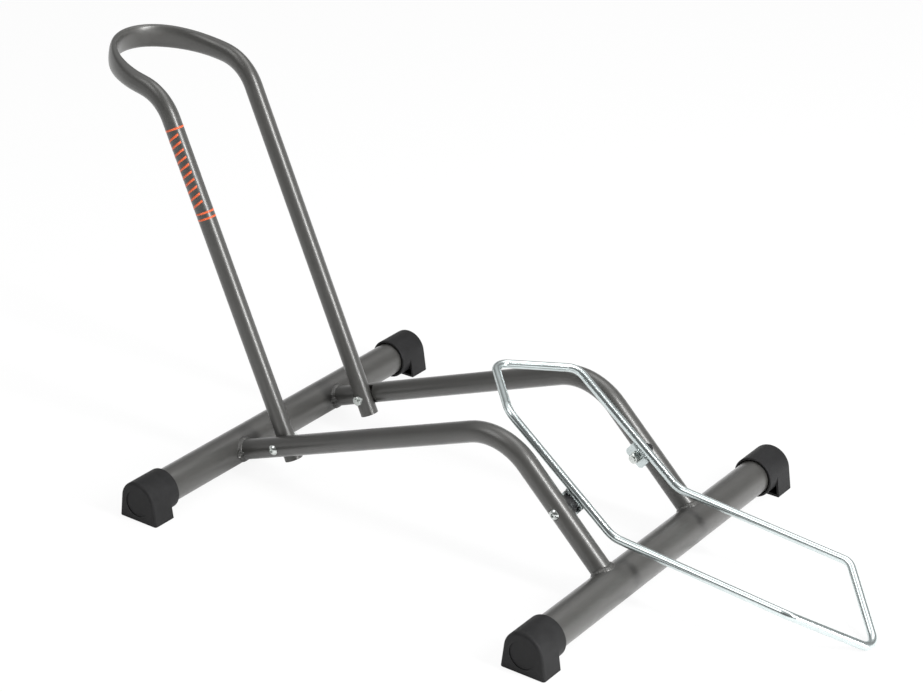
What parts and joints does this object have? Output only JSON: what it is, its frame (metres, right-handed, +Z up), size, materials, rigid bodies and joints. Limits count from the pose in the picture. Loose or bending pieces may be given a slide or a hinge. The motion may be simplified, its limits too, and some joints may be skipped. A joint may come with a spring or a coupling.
{
  "type": "floor bike rack",
  "caption": "Free-standing floor rack for one bicycle: leaning wheel hoop, two bent rails on floor tubes with rubber feet, and a tipping wire wheel cradle.",
  "frame": {"origin": "on the floor under the middle of the whole rack's box", "axes": "+X from the hoop towards the wheel's entrance, +Y along the floor tubes to the right of someone who pushes a bike in, +Z up"},
  "size_m": [0.9561, 0.4744, 0.4439],
  "materials": {
    "grey_paint": "satin dark grey metallic paint",
    "zinc_wire": "bright zinc-plated wire and plate",
    "zinc_hardware": "zinc-plated bolts, nuts and washers",
    "rubber_cap": "matt moulded rubber",
    "black_plastic": "matt moulded plastic"
  },
  "bodies": {
    "rack": {"cap_front_left": "rubber_cap", "cap_front_right": "rubber_cap", "cap_rear_left": "rubber_cap", "cap_rear_right": "rubber_cap", "front_floor_tube": "grey_paint", "front_weld_left": "grey_paint", "front_weld_right": "grey_paint", "hoop": "grey_paint", "hoop_bolts": "zinc_hardware", "hoop_nuts": "zinc_hardware", "pivot_bolts": "zinc_hardware", "pivot_nuts": "zinc_hardware", "pivot_spacer_left": "black_plastic", "pivot_spacer_right": "black_plastic", "pivot_washers": "zinc_hardware", "rail_left": "grey_paint", "rail_right": "grey_paint", "rear_floor_tube": "grey_paint", "rear_weld_left": "grey_paint", "rear_weld_right": "grey_paint"},
    "cradle": {"cradle_loop": "zinc_wire", "cradle_tab_left": "zinc_wire", "cradle_tab_right": "zinc_wire", "cradle_tab_welds": "zinc_wire"}
  },
  "joints": [
    {"name": "cradle_tip", "type": "hinge", "parent": "rack", "child": "cradle", "pos_m": [0.16466, 0, 0.0861], "axis": [0, -1, 0], "range_deg": [0, 60]}
  ]
}
